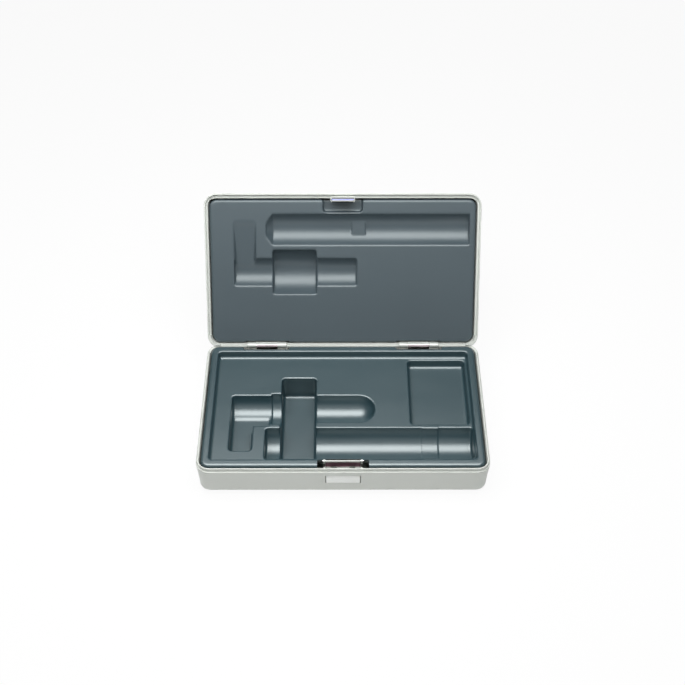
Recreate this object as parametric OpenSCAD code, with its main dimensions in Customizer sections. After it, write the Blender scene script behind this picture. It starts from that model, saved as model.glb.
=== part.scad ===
// Hinged hard case for a hand-held examination instrument, standing open.
// Front (button) faces -Y, the hinges are at +Y, the origin is the middle of the bottom face.

/* [Case shells] */
// Outer width at the parting line
case_w = 215; // [190:1:240]
// Outer depth at the parting line
case_d = 122.5; // [115:0.5:135]
// Height of the base up to its shoulder
base_h = 29.5; // [27:0.5:40]
// Height of the lid
lid_h = 21; // [19:0.5:32]
// Plan radius of the vertical corners
corner_r = 10; // [8.5:0.5:14]
// Radius of the base's bottom edge
base_edge_r = 8; // [3:0.5:9]
// Radius of the lid's top edge
lid_edge_r = 7; // [3:0.5:8]
// Draft of the base's walls in degrees
base_draft = 2; // [0.5:0.5:3]
// Draft of the lid's walls in degrees
lid_draft = 6; // [1:0.5:7]
// Thickness of the side walls
wall = 2.3; // [1.8:0.1:3]
// Thickness of the flat faces
floor_t = 2.2; // [1.6:0.1:3]
// Width of the shoulder outside the lip
shoulder_w = 1.2; // [0.8:0.1:1.4]
// Height of the lip above the shoulder
lip_h = 2.9; // [2:0.1:3.4]
// Gap between the shells and round the lip when closed
rim_gap = 0.2; // [0.15:0.05:0.4]
// Rounding of the rim edges
rim_round = 0.45; // [0.2:0.05:0.5]

/* [Hinges] */
// Distance of each hinge's middle from the case's middle
hinge_x = 60.5; // [45:0.5:70]
// Length of one hinge
hinge_w = 31; // [26:0.5:36]
// Length of each outer knuckle
outer_knuckle_w = 7; // [5:0.5:9]
// Outer radius of the lid's knuckles
knuckle_r = 2; // [1.8:0.1:2.4]
// Outer radius of the base's knuckle
mid_knuckle_r = 1.7; // [1.6:0.05:1.8]
// Radius of the hinge pin
pin_r = 1.1; // [0.8:0.05:1.3]
// Running clearance between the pins and what turns on them
pin_play = 0.06; // [0.03:0.01:0.1]
// End gap between neighbouring knuckles
knuckle_gap = 0.15; // [0.1:0.05:0.3]
// Thickness of the leaf plates
leaf_t = 1; // [0.7:0.1:1.1]
// Height of each leaf below or above the hinge axis
leaf_h = 12.5; // [10:0.5:14]
// Height of the hinge axis above the shoulder
hinge_lift = 1; // [0.7:0.1:1.3]
// Land of the rear walls in front of the hinge axis
rail_land = 1; // [0.9:0.1:1.3]
// Height of the thickened rear rails
rail_h = 6; // [5:0.5:8]
// Opening angle of the lid, where the rear bevels meet
open_angle = 126; // [110:1:130]
// Half of the gap left between the bevels, measured upright
stop_gap = 0.35; // [0.3:0.05:0.6]

/* [Trays] */
// Thickness of the formed sheet
sheet_t = 0.9; // [0.6:0.1:1.1]
// Height of the base tray's flange above the shoulder
flange_rise = 2.5; // [2:0.1:2.8]
// Drop from the flange to the deck
deck_drop = 6.5; // [5:0.5:9]
// Height of the turned-down edge of both trays
skirt_h = 5; // [3:0.5:7]
// Gap between the two trays' faces when closed
tray_gap = 0.6; // [0.4:0.1:1]
// Gap from the walls to the base tray at the sides
side_gap = 1; // [0.8:0.1:2]
// Gap from the front wall to the base tray
front_gap = 2.2; // [1.8:0.1:3]
// Gap from the rear rail to the base tray
rear_gap = 1.05; // [0.8:0.05:2]
// Width of the flange at the sides and the front
flange_w = 5.8; // [5.6:0.1:8]
// Width of the flange at the rear
rear_flange_w = 5.2; // [5:0.1:8]
// How much tighter the trays' corners are than the walls inside them
corner_ease = 1.7; // [1:0.1:2.5]
// Plan radius of the pocket corners
pocket_r = 3; // [1:0.5:4]
// Gap from the side walls to the lid tray
lid_side_gap = 3.3; // [2.9:0.1:5]
// Gap from the front wall to the lid tray
lid_front_gap = 2.75; // [2.4:0.05:4]
// Gap from the rear rail to the lid tray
lid_rear_gap = 0.75; // [0.6:0.05:2]

/* [Pockets] */
// Radius of the handle trough
handle_r = 14.15; // [12:0.05:14.5]
// Length of the handle trough
handle_l = 155.7; // [130:0.1:160]
// Deck left between the handle trough and the front flange
handle_front_land = 4.95; // [4:0.05:8]
// Deck left between the handle trough and the right flange
handle_end_land = 1.1; // [1:0.1:6]
// Start of the raised band, measured from the trough's right end
band_from_end = 37.8; // [30:0.1:60]
// Length of the raised band in the trough
band_l = 12.4; // [6:0.1:20]
// Height of the raised band
band_rise = 0.5; // [0.3:0.1:1]
// Distance between the handle's and the instrument's axes
axis_gap = 32.4; // [31.5:0.1:36]
// Radius of the instrument trough
head_r = 13.2; // [12:0.1:13.8]
// Deck left between the instrument trough and the left flange
head_end_land = 13.1; // [8:0.1:20]
// Length of the instrument trough up to its collar
head_l = 30.2; // [25:0.1:36]
// Length of the collar
collar_l = 7.7; // [5:0.1:12]
// Radius of the collar
collar_r = 15; // [14:0.1:16]
// Length of the straight part beyond the well, before its domed end
neck_l = 31.7; // [20:0.1:36]
// Width of the angled leg of the instrument trough
leg_w = 17.3; // [10:0.1:22]
// Reach of the leg in front of the instrument's axis
leg_reach = 39.5; // [30:0.5:42]
// Reach of the leg's root in front of the instrument's axis
root_reach = 16.8; // [14:0.1:17]
// Width of the finger well
well_w = 26.8; // [18:0.1:30]
// Reach of the well behind the instrument's axis
well_rear = 28.8; // [20:0.1:34]
// Reach of the well in front of the handle's axis
well_front = 12.2; // [8:0.1:13]
// Width of the accessory pocket
accessory_w = 44.8; // [30:0.1:50]
// Depth of the accessory pocket
accessory_depth = 7; // [4:0.5:12]
// Deck left beside and behind the accessory pocket
accessory_land = 2.4; // [2:0.1:6]
// Web between the handle trough and the accessory pocket
pocket_web = 2.6; // [2:0.1:5]
// Radius of the large bay in the lid
bay_r = 19.1; // [16:0.1:20]
// Extra length of the lid's handle trough at each end
lid_handle_play = 1.5; // [0.5:0.1:2]
// Length of the cone at the left end of the lid's handle trough
cone_l = 5.3; // [3:0.1:8]
// Radius at the small end of that cone
cone_r = 8.7; // [7.8:0.1:12]
// Length of the flat pad in the lid's handle trough
pad_l = 10.7; // [6:0.1:16]
// Width of that pad
pad_w = 11.7; // [8:0.1:16]
// Middle of that pad, measured from the case's middle
pad_x = 12.5; // [0:0.5:30]
// Depth of the lid tray's recess over the latch
recess_depth = 5; // [4:0.5:7]
// Gap between the latch pin's ends and the sides of that recess
recess_side = 0.4; // [0.3:0.05:2]
// Reach of the recess behind the lid tray's front edge
recess_reach = 10; // [8:0.5:12]

/* [Latch] */
// Width of the latch lever
lever_w = 25.4; // [22:0.2:27]
// Thickness of the latch lever
lever_t = 0.9; // [0.7:0.05:1]
// Radius of the lever's rolled top
roll_r = 1.2; // [1.1:0.05:1.3]
// Radius of the latch pin
latch_pin_r = 0.7; // [0.5:0.05:0.75]
// Distance of the lever's axis behind the lip's inner face
lever_back = 6.35; // [6:0.05:7]
// Height of the lever's axis above the shoulder
lever_rise = 2.4; // [2.2:0.1:2.7]
// Length of the lever below its axis
lever_l = 10; // [9:0.1:11]
// Projection of the lever's nose
nose_out = 2.4; // [2.1:0.1:2.7]
// Depth of the nose's underside below the lever's axis
nose_drop = 7.4; // [7:0.1:7.6]
// Thickness of the ribs that carry the latch pin
rib_t = 1.2; // [1:0.1:1.5]
// Gap between the lever and the ribs
rib_gap = 0.4; // [0.3:0.05:0.6]
// Gap between the push button and the ribs
button_side = 0.35; // [0.32:0.01:0.6]
// Height of the push button
button_h = 9.2; // [8.6:0.1:10]
// Distance from the shoulder down to the button's aperture
button_drop = 4.8; // [4:0.1:5]
// Gap round the button in its aperture
button_gap = 0.3; // [0.2:0.05:0.5]
// Crown of the button in front of the wall
button_proud = 0.5; // [0.3:0.05:0.8]
// Travel of the button
button_travel = 1.6; // [1.2:0.1:1.6]
// Gap left between the pressed button and the lid's catch
press_gap = 0.4; // [0.3:0.05:0.6]
// Width of each of the button's two fingers
finger_w = 2; // [1.5:0.1:2.2]
// Gap between the fingers and the lever at rest
finger_gap = 0.15; // [0.1:0.05:0.3]
// Width of the lid's catch
catch_w = 19; // [14:0.1:19.4]
// Thickness of the catch's strip
catch_t = 0.8; // [0.6:0.05:1]
// Thickness of the catch over its folded hook
hook_depth = 3.4; // [3.2:0.1:3.8]
// Height of the catch's hook
hook_h = 2.6; // [2.2:0.1:2.6]
// Height of the catch's strip inside the lid
strap_h = 11; // [9:0.5:13]
// Width of the lever's leaf spring
spring_w = 10; // [6:0.5:12]
// Thickness of the leaf spring
spring_t = 0.4; // [0.3:0.05:0.5]
// Shank radius of the rivets
rivet_r = 1; // [0.8:0.05:1.2]
// Head radius of the rivets
rivet_head_r = 1.9; // [1.6:0.05:2.1]
// Head height of the rivets
rivet_head_h = 0.6; // [0.4:0.05:0.7]

/* [Hidden] */
$fn = 64;
over = 5; // how far a cut runs past the faces that it opens
sink = 0.3; // how far a rib or finger runs into the wall that it stands on
half_w = case_w / 2;
half_d = case_d / 2;
lip_step = 0.1; // from the lip's inner face to the wall's
lip_w = wall - shoulder_w - lip_step;
lip_round = min(rim_round, lip_w * 0.4);
lid_rim_z = base_h + rim_gap;
case_h = lid_rim_z + lid_h;
inner_x = half_w - wall;
inner_y = half_d - wall;
lid_top_in = case_h - floor_t;

// Hinge line and the rear rails
hinge_y = half_d - knuckle_r;
hinge_z = base_h + hinge_lift;
rail_y = hinge_y - rail_land;
rail_split = 0.2; // half of the gap between the two rails when closed
knuckle_room = 0.5; // clear space round the knuckles
end_room = 0.4; // clear space beyond the ends of a hinge
pad_margin = 1.5; // hinge pad beyond the edges of its leaf
mid_w = hinge_w - 2 * outer_knuckle_w - 2 * knuckle_gap;
rivet_depth = 1.4; // how deep the blind rivets go into the plastic
rivet_fit = 0.03; // clearance round the rivets' shanks
rivet_taper = 0.75; // width of a rivet head at its top, as a share
rivet_edge = 4; // rivet's distance from the leaf's free edge
leaf_rivet_x = hinge_w / 2 - rivet_edge - pad_margin;
leaf_rivet_z = leaf_h - rivet_edge;

// Levels of the trays
flange_z = base_h + flange_rise;
deck_z = flange_z - deck_drop;
lid_face_z = flange_z + tray_gap;
axis_z = deck_z;
well_floor = floor_t + sheet_t;
tray_corner_r = corner_r - wall - corner_ease;

// Base tray outline and deck
tray_x = inner_x - side_gap;
tray_front = -inner_y + front_gap;
tray_rear = rail_y - rear_gap;
deck_x = tray_x - flange_w;
deck_front = tray_front + flange_w;
deck_rear = tray_rear - rear_flange_w;

// Lid tray outline
lid_tray_x = inner_x - lid_side_gap;
lid_tray_front = -inner_y + lid_front_gap;
lid_tray_rear = rail_y - lid_rear_gap;

// Pockets shared by both trays
handle_y = deck_front + handle_front_land + handle_r;
handle_x1 = deck_x - handle_end_land;
handle_x0 = handle_x1 - handle_l;
band_x0 = handle_x1 - band_from_end;
head_y = handle_y + axis_gap;
head_x0 = -deck_x + head_end_land;
collar_x0 = head_x0 + head_l;
well_x0 = collar_x0 + collar_l;
well_x1 = well_x0 + well_w;
dome_x = well_x1 + neck_l;
well_y0 = handle_y - well_front;
well_y1 = head_y + well_rear;
leg_front = head_y - leg_reach;
root_front = head_y - root_reach;
trough_floor = axis_z - head_r;
accessory_x0 = deck_x - accessory_land - accessory_w;
accessory_y0 = handle_y + handle_r + pocket_web;
accessory_y1 = deck_rear - 2 * accessory_land;
lid_handle_x0 = handle_x0 - lid_handle_play;
lid_handle_x1 = handle_x1 + lid_handle_play;

// Planes where the base tray's sheet is split
split_z = deck_z - 2 * sheet_t;
split_x0 = well_x0 - 2 * sheet_t;
split_x1 = well_x1 + 2 * sheet_t;

// Openings of the trays at the hinges and the latch
bay_side = 2; // beyond the ends of a hinge
bay_flare = 4; // widening of a bay towards the rear wall
bay_land = 0.5; // flange left between a bay and the deck's rear wall
bay_clear = 0.5; // in front of the rivet heads of a leaf
notch_side = 4.6; // beyond the ribs of the latch
notch_land = 0.6; // how far the latch notch runs into the deck

// Posts that carry the trays near their corners
post_r = 1.6;
base_post_x = tray_x - flange_w / 2;
base_post_front = tray_front + tray_corner_r;
base_post_rear = tray_rear - tray_corner_r;
lid_post_in = 3.9; // from the lid tray's edges
lid_post_x = lid_tray_x - lid_post_in;

// Latch lever, its ribs and its pin
lever_y = -inner_y + lever_back;
lever_z = base_h + lever_rise;
lever_face = lever_y - roll_r;
nose_z = lever_z - nose_drop;
nose_ramp = 3.2; // height of the nose where it leaves the lever
nose_tip = 0.6; // height of the nose at its tip
nose_cut_x = 6.7; // middle of each of the two cuts in the nose
nose_cut_w = 4.3;
rib_x = lever_w / 2 + rib_gap;
rib_drop = 14; // height of the ribs below the shoulder
pin_end = 0.8; // latch pin beyond the ribs
pin_reach = rib_x + rib_t + pin_end;

// Push button
button_w = 2 * (rib_x - button_side);
button_top = base_h - button_drop;
button_foot = button_top - button_h;
wall_lean = tan(base_draft);
catch_clear = 0.35; // between the front wall and the catch
strap_out = -inner_y + button_drop * wall_lean + catch_clear;
cap_back = strap_out - press_gap - button_travel;
cap_t = cap_back + half_d + button_proud;
bevel_depth = cap_t * 0.6; // how far the upper half of the cap leans back
swing = 11.2; // how far the pressed button swings the lever, in degrees
nose_dip = (roll_r + nose_out) * sin(swing) - nose_drop * (1 - cos(swing));
finger_drop = 0.1; // from the dipped nose's underside to the fingers
finger_top = nose_z - nose_dip - finger_drop;
finger_h = 2.4;
finger_side = 0.8; // between the fingers and the catch
finger_x = catch_w / 2 + finger_side;
sill_h = 1.6; // sill along the button's lower edge, and the flange below it
sill_gap = 0.1; // from the front wall's inner face to that flange
sill_t = 1;
sill_back = -inner_y + (button_drop + button_h + sill_h) * wall_lean + sill_gap + sill_t;

// Catch on the lid
hook_play = 0.3; // between the nose and the hook
hook_top = nose_z - hook_play;
hook_y = strap_out + hook_depth / 2;
hook_z = hook_top - hook_h + hook_depth / 2;
bend = 0.5; // half height of the strap's slight bend
bend_z = lid_rim_z + lip_h;
strap_lean = tan(lid_draft);
strap_seat = -inner_y + (bend_z + bend - lid_rim_z) * strap_lean;
catch_rivet_x = catch_w / 2 - rivet_edge;
catch_rivet_drop = 1; // below the middle of the strap
catch_rivet_z = bend_z + strap_h / 2 - catch_rivet_drop;

// Leaf spring behind the lever
spring_gap = 0.06; // between the spring and the lever
spring_lean = 2.3; // how far the spring leans towards the lever
spring_flat = 1; // upright end of the spring
spring_touch = lever_face + lever_t + spring_gap;
spring_tip = lever_z - lever_l + spring_flat;
spring_y = spring_touch + spring_lean;
boss_z = 10; // top of the boss under the spring
boss_room = 0.2; // between the rivet's head and the foot of the spring's blade
boss_d = 2 * (spring_t + rivet_head_r + boss_room);
boss_side = 1; // boss beyond the spring's edges
boss_rivet_l = 3;

shell_colour = [0.74, 0.76, 0.73];
base_tray_colour = [0.33, 0.39, 0.41];
lid_tray_colour = [0.36, 0.4, 0.41];
nickel_colour = [0.8, 0.82, 0.81];
latch_colour = [0.45, 0.35, 0.38];
button_colour = [0.84, 0.86, 0.84];

// Turns the closed lid about the hinge line to where it stands open
module lid_open() {
  translate([0, hinge_y, hinge_z]) rotate([-open_angle, 0, 0]) translate([0, -hinge_y, -hinge_z]) children();
}

module at_left() {
  translate([-hinge_x, 0, 0]) children();
}

module at_right() {
  translate([hinge_x, 0, 0]) children();
}

module at_both() {
  at_left() children();
  at_right() children();
}

module both_sides() {
  children();
  mirror([1, 0, 0]) children();
}

// Rounded rectangle between two corners
module plan(x0, x1, y0, y1, r) {
  translate([x0 + r, y0]) square([x1 - x0 - 2 * r, y1 - y0]);
  translate([x0, y0 + r]) square([x1 - x0, y1 - y0 - 2 * r]);
  for (x = [x0 + r, x1 - r], y = [y0 + r, y1 - r]) translate([x, y]) circle(r);
}

module block(x0, x1, y0, y1, z0, z1) {
  translate([x0, y0, z0]) cube([x1 - x0, y1 - y0, z1 - z0]);
}

module prism(x0, x1, y0, y1, z0, z1, r) {
  translate([0, 0, z0]) linear_extrude(z1 - z0) plan(x0, x1, y0, y1, r);
}

// Bar along X from an outline drawn in Y and Z
module bar_x(x0, x1) {
  translate([x0, 0, 0]) rotate([90, 0, 90]) linear_extrude(x1 - x0) children();
}

module rod_x(x0, x1, y, z, r) {
  translate([x0, y, z]) rotate([0, 90, 0]) cylinder(h = x1 - x0, r = r);
}

module cone_x(x0, x1, y, z, r0, r1) {
  translate([x0, y, z]) rotate([0, 90, 0]) cylinder(h = x1 - x0, r1 = r0, r2 = r1);
}

// Carries a wall section, drawn outwards from the corner's centre, round the case
module round_case() {
  a = half_w - corner_r;
  b = half_d - corner_r;
  for (mx = [0, 1], my = [0, 1]) mirror([mx, 0, 0]) mirror([0, my, 0])
    translate([a, b, 0]) rotate_extrude(angle = 90) children();
  for (mx = [0, 1]) mirror([mx, 0, 0])
    translate([a, b, 0]) rotate([90, 0, 0]) linear_extrude(2 * b) children();
  for (my = [0, 1]) mirror([0, my, 0])
    translate([-a, b, 0]) rotate([90, 0, 90]) linear_extrude(2 * a) children();
}

// Section of a drafted wall with a rounded bottom edge, set in from the outer face
module tub_section(h, draft, edge, inset, z0, top_round) {
  lean = tan(draft);
  u_top = corner_r - inset;
  least = 0.2;
  r = min(edge - inset, u_top - h * lean - least);
  u_c = u_top + (sin(draft) * (z0 + r - h) - r) / cos(draft);
  foot = [u_c + r * cos(draft), z0 + r - r * sin(draft)];
  intersection() {
    union() {
      polygon([[0, z0], [u_c, z0], foot, [u_top - top_round * lean, h - top_round],
        [u_top - top_round, h], [0, h]]);
      translate([u_c, z0 + r]) circle(r);
      if (top_round > 0) translate([u_top - top_round, h - top_round]) circle(top_round);
    }
    translate([0, z0]) square([corner_r + over, h - z0]);
  }
}

module tub_solid(h, draft, edge, inset, z0, top_round) {
  a = half_w - corner_r;
  b = half_d - corner_r;
  round_case() tub_section(h, draft, edge, inset, z0, top_round);
  block(-a, a, -b, b, z0, h);
}

module tub(h, draft, edge) {
  rise = over * tan(draft);
  difference() {
    tub_solid(h, draft, edge, 0, 0, rim_round);
    tub_solid(h + over, draft, edge - rise, wall - rise, floor_t, 0);
  }
}

// Upright band round the rim, between two distances from the outer face
module rim_band(out0, out1, z0, z1) {
  round_case() translate([corner_r - out1, z0]) square([out1 - out0, z1 - z0]);
}

module lip_section() {
  translate([corner_r - shoulder_w - lip_w, base_h - lip_h]) {
    square([lip_w, 2 * lip_h - lip_round]);
    translate([lip_round, 0]) square([lip_w - 2 * lip_round, 2 * lip_h]);
    for (u = [lip_round, lip_w - lip_round]) translate([u, 2 * lip_h - lip_round]) circle(lip_round);
  }
}

// What a shell loses behind the hinge line, drawn for the base
module rear_bevel() {
  reach = knuckle_r + over;
  bar_x(-half_w - over, half_w + over) translate([hinge_y, hinge_z - stop_gap])
    polygon([[0, 0], [reach, -reach * tan(open_angle / 2)], [reach, rail_h], [0, rail_h]]);
}

// Seats of one hinge, drawn for the base
module hinge_pad() {
  block(-hinge_w / 2 - pad_margin, hinge_w / 2 + pad_margin, rail_y, inner_y + sink,
    hinge_z - leaf_h - pad_margin, hinge_z - rail_h / 2);
}

module hinge_seat() {
  room = knuckle_r + knuckle_room;
  end = hinge_w / 2 + end_room;
  block(-end, end, rail_y - over, half_d + over, hinge_z - room, hinge_z + room);
  block(-end, end, rail_y - over, rail_y, hinge_z - leaf_h - end_room, hinge_z);
  leaf_rivet_shanks(rivet_fit, sink);
}

module rail() {
  a = half_w - corner_r;
  block(-a, a, rail_y, half_d - wall / 2, hinge_z - rail_h, hinge_z - rail_split);
}

// What the lid's rear rim loses over the base's rail
module rail_room() {
  a = half_w - corner_r;
  block(-a, a, rail_y - over, half_d + over, base_h, hinge_z + rail_split);
}

// Turns what is drawn for the base over for the closed lid
module for_lid() {
  translate([0, 0, 2 * hinge_z]) mirror([0, 0, 1]) children();
}

module rib() {
  wall_y = -inner_y - sink;
  bar_x(rib_x, rib_x + rib_t) difference() {
    union() {
      translate([wall_y, base_h - rib_drop]) square([lever_y - wall_y, rib_drop]);
      translate([lever_y - roll_r, base_h - rib_drop]) square([2 * roll_r, rib_drop + lever_rise]);
      translate([lever_y, lever_z]) circle(roll_r);
    }
    translate([lever_y, lever_z]) circle(latch_pin_r);
  }
}

module base_posts() {
  for (x = [-base_post_x, base_post_x], y = [base_post_front, base_post_rear])
    translate([x, y, floor_t - sink]) cylinder(h = flange_z - sheet_t - floor_t + sink, r = post_r);
}

module base_shell() {
  boss_x = spring_w / 2 + boss_side;
  color(shell_colour) difference() {
    union() {
      tub(base_h, base_draft, base_edge_r);
      difference() {
        round_case() lip_section();
        block(-half_w, half_w, half_d - corner_r, half_d + over, base_h, base_h + lip_h + over);
      }
      rail();
      at_both() hinge_pad();
      both_sides() rib();
      base_posts();
      block(-boss_x, boss_x, spring_y, spring_y + boss_d, floor_t - sink, boss_z);
    }
    rear_bevel();
    at_both() hinge_seat();
    button_aperture();
    spring_rivet_shank(rivet_fit, sink);
  }
}

module button_aperture() {
  x = button_w / 2 + button_gap;
  foot = button_foot - button_gap;
  back = -inner_y + (base_h - foot) * wall_lean + sink;
  block(-x, x, -half_d - over, back, foot, button_top + button_gap);
}

// Hollows of the base tray; g grows them by the sheet's thickness for the underside
module base_hollows(g) {
  high = flange_z + over;
  prism(-deck_x - g, deck_x + g, deck_front - g, deck_rear + g, deck_z - g, high, pocket_r + g);
  rod_x(handle_x0 - g, band_x0 + g, handle_y, axis_z, handle_r + g);
  rod_x(band_x0 - g, band_x0 + band_l + g, handle_y, axis_z, handle_r - band_rise + g);
  rod_x(band_x0 + band_l - g, handle_x1 + g, handle_y, axis_z, handle_r + g);
  rod_x(head_x0 - g, collar_x0 + g, head_y, axis_z, head_r + g);
  rod_x(collar_x0 - g, well_x0 + g, head_y, axis_z, collar_r + g);
  rod_x(well_x1 - g, dome_x, head_y, axis_z, head_r + g);
  translate([dome_x, head_y, axis_z]) sphere(head_r + g);
  prism(head_x0 - g, collar_x0 + g, root_front - g, head_y, trough_floor - g, high, pocket_r + g);
  prism(head_x0 - g, head_x0 + leg_w + g, leg_front - g, head_y, trough_floor - g, high, pocket_r + g);
  prism(well_x0 - g, well_x1 + g, well_y0 - g, well_y1 + g, well_floor - g, high, pocket_r + g);
  prism(accessory_x0 - g, accessory_x0 + accessory_w + g, accessory_y0 - g, accessory_y1 + g,
    deck_z - accessory_depth - g, high, pocket_r + g);
}

module base_underside() {
  t = sheet_t;
  difference() {
    union() {
      prism(-tray_x + t, tray_x - t, tray_front + t, tray_rear - t, -over, flange_z - t, tray_corner_r - t);
      block(-half_w, half_w, -half_d, half_d, -over, flange_z - skirt_h);
    }
    base_hollows(t);
  }
}

module hinge_bay() {
  x = hinge_w / 2 + bay_side;
  y = deck_rear + sheet_t + bay_land;
  translate([0, 0, -over]) linear_extrude(flange_z + 2 * over)
    polygon([[-x, y], [x, y], [x + bay_flare, half_d], [-x - bay_flare, half_d]]);
}

module tray_sheet() {
  notch_x = rib_x + rib_t + notch_side;
  difference() {
    prism(-tray_x, tray_x, tray_front, tray_rear, well_floor - sheet_t, flange_z, tray_corner_r);
    base_hollows(0);
    base_underside();
    block(-notch_x, notch_x, -half_d, deck_front + notch_land, -over, flange_z + over);
    at_both() hinge_bay();
  }
}

// Room under the deck between two planes across the case
module under_deck(x0, x1) {
  block(x0, x1, -half_d, half_d, 0, split_z);
}

// The formed sheet is split below its deck and on both sides of its finger well
module base_tray() {
  color(base_tray_colour) difference() {
    tray_sheet();
    under_deck(-half_w, half_w);
  }
}

module pockets_left() {
  color(base_tray_colour) intersection() {
    tray_sheet();
    under_deck(-half_w, split_x0);
  }
}

module finger_well() {
  color(base_tray_colour) intersection() {
    tray_sheet();
    under_deck(split_x0, split_x1);
  }
}

module pockets_right() {
  color(base_tray_colour) intersection() {
    tray_sheet();
    under_deck(split_x1, half_w);
  }
}

// Plate of one leaf, drawn for the base, up to a distance below the hinge line
module leaf_plate(x0, x1, below) {
  block(x0, x1, rail_y - leaf_t, rail_y, hinge_z - leaf_h, hinge_z - below);
}

module base_leaf() {
  difference() {
    union() {
      leaf_plate(-hinge_w / 2, hinge_w / 2, knuckle_r + knuckle_room);
      leaf_plate(-mid_w / 2, mid_w / 2, 0);
      rod_x(-mid_w / 2, mid_w / 2, hinge_y, hinge_z, mid_knuckle_r);
    }
    rod_x(-hinge_w, hinge_w, hinge_y, hinge_z, pin_r);
    leaf_rivet_shanks(rivet_fit, sink);
  }
}

module lid_leaf() {
  x0 = hinge_w / 2 - outer_knuckle_w;
  for_lid() difference() {
    union() {
      leaf_plate(-hinge_w / 2, hinge_w / 2, mid_knuckle_r + knuckle_room);
      both_sides() {
        leaf_plate(x0, hinge_w / 2, 0);
        rod_x(x0, hinge_w / 2, hinge_y, hinge_z, knuckle_r);
      }
    }
    rod_x(-hinge_w, hinge_w, hinge_y, hinge_z, pin_r + pin_play);
    leaf_rivet_shanks(rivet_fit, sink);
  }
}

module hinge_pin() {
  rod_x(-hinge_w / 2, hinge_w / 2, hinge_y, hinge_z, pin_r);
}

module rivet_head() {
  cylinder(h = rivet_head_h, r1 = rivet_head_r, r2 = rivet_head_r * rivet_taper);
}

// Shanks of a leaf's rivets; as holes they are wider by a fit and run past the leaf's face
module leaf_rivet_shanks(fit, past) {
  both_sides() translate([leaf_rivet_x, rail_y - leaf_t - past, hinge_z - leaf_rivet_z])
    rotate([-90, 0, 0]) cylinder(h = past + leaf_t + rivet_depth, r = rivet_r + fit);
}

module leaf_rivets() {
  leaf_rivet_shanks(0, 0);
  both_sides() translate([leaf_rivet_x, rail_y - leaf_t, hinge_z - leaf_rivet_z])
    rotate([90, 0, 0]) rivet_head();
}

module hinge_base_leaf_left() {
  color(nickel_colour) at_left() base_leaf();
}

module hinge_base_leaf_right() {
  color(nickel_colour) at_right() base_leaf();
}

module hinge_pin_left() {
  color(nickel_colour) at_left() hinge_pin();
}

module hinge_pin_right() {
  color(nickel_colour) at_right() hinge_pin();
}

module base_leaf_rivets_left() {
  color(nickel_colour) at_left() leaf_rivets();
}

module base_leaf_rivets_right() {
  color(nickel_colour) at_right() leaf_rivets();
}

module hinge_lid_leaf_left() {
  color(nickel_colour) lid_open() at_left() lid_leaf();
}

module hinge_lid_leaf_right() {
  color(nickel_colour) lid_open() at_right() lid_leaf();
}

module lid_leaf_rivets_left() {
  color(nickel_colour) lid_open() at_left() for_lid() leaf_rivets();
}

module lid_leaf_rivets_right() {
  color(nickel_colour) lid_open() at_right() for_lid() leaf_rivets();
}

module lid_posts() {
  post_z = lid_face_z + sheet_t;
  for (x = [-lid_post_x, lid_post_x], y = [lid_tray_front + lid_post_in, lid_tray_rear - lid_post_in])
    translate([x, y, post_z]) cylinder(h = lid_top_in + sink - post_z, r = post_r);
}

// Room for the base's lip inside the lid's rim
module lip_rebate() {
  difference() {
    rim_band(shoulder_w - rim_gap, wall + sink, lid_rim_z - over, lid_rim_z + lip_h);
    block(-half_w, half_w, half_d - corner_r, half_d + over, 0, case_h);
  }
}

module lid_shell() {
  color(shell_colour) lid_open() difference() {
    union() {
      translate([0, 0, case_h]) mirror([0, 0, 1]) tub(lid_h, lid_draft, lid_edge_r);
      for_lid() rail();
      at_both() for_lid() hinge_pad();
      lid_posts();
    }
    lip_rebate();
    rail_room();
    for_lid() rear_bevel();
    at_both() for_lid() hinge_seat();
    catch_rivet_shanks(rivet_fit, sink);
  }
}

// Handle trough of the lid, with its cone and the flat pad across its crown
module lid_handle(g) {
  flat_z = axis_z + sqrt(pow(handle_r, 2) - pow(pad_w / 2, 2));
  cone_x1 = lid_handle_x0 + cone_l;
  difference() {
    union() {
      rod_x(cone_x1, lid_handle_x1 + g, handle_y, axis_z, handle_r + g);
      cone_x(lid_handle_x0 - g, cone_x1, handle_y, axis_z, cone_r + g, handle_r + g);
    }
    block(pad_x - pad_l / 2 + g, pad_x + pad_l / 2 - g, handle_y - handle_r, handle_y + handle_r,
      flat_z + g, case_h);
  }
}

// Hollows of the lid tray, drawn closed, opening downwards
module lid_hollows(g) {
  low = lid_face_z - over;
  recess_x = pin_reach + recess_side + g;
  lid_handle(g);
  rod_x(head_x0 - g, dome_x + g, head_y, axis_z, head_r + g);
  rod_x(collar_x0 - g, well_x1 + g, head_y, axis_z, bay_r + g);
  bar_x(head_x0 - g, head_x0 + leg_w + g) polygon([[leg_front - g, low], [leg_front - g, lid_face_z + g],
    [head_y, axis_z + head_r + g], [head_y, low]]);
  prism(-recess_x, recess_x, lid_tray_front - half_d, lid_tray_front + recess_reach + g,
    low, lid_face_z + recess_depth + g, pocket_r + g);
}

module lid_underside() {
  t = sheet_t;
  difference() {
    union() {
      prism(-lid_tray_x + t, lid_tray_x - t, lid_tray_front + t, lid_tray_rear - t,
        lid_face_z + t, case_h, tray_corner_r - t);
      block(-half_w, half_w, -half_d, half_d, lid_face_z + skirt_h, case_h);
    }
    lid_hollows(t);
  }
}

module lid_tray() {
  bay_x = hinge_w / 2 + bay_side;
  bay_y = rail_y - leaf_t - rivet_head_h - bay_clear;
  color(lid_tray_colour) lid_open() difference() {
    prism(-lid_tray_x, lid_tray_x, lid_tray_front, lid_tray_rear, lid_face_z, lid_top_in, tray_corner_r);
    lid_hollows(0);
    lid_underside();
    at_both() block(-bay_x, bay_x, bay_y, half_d, 0, case_h);
  }
}

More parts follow.
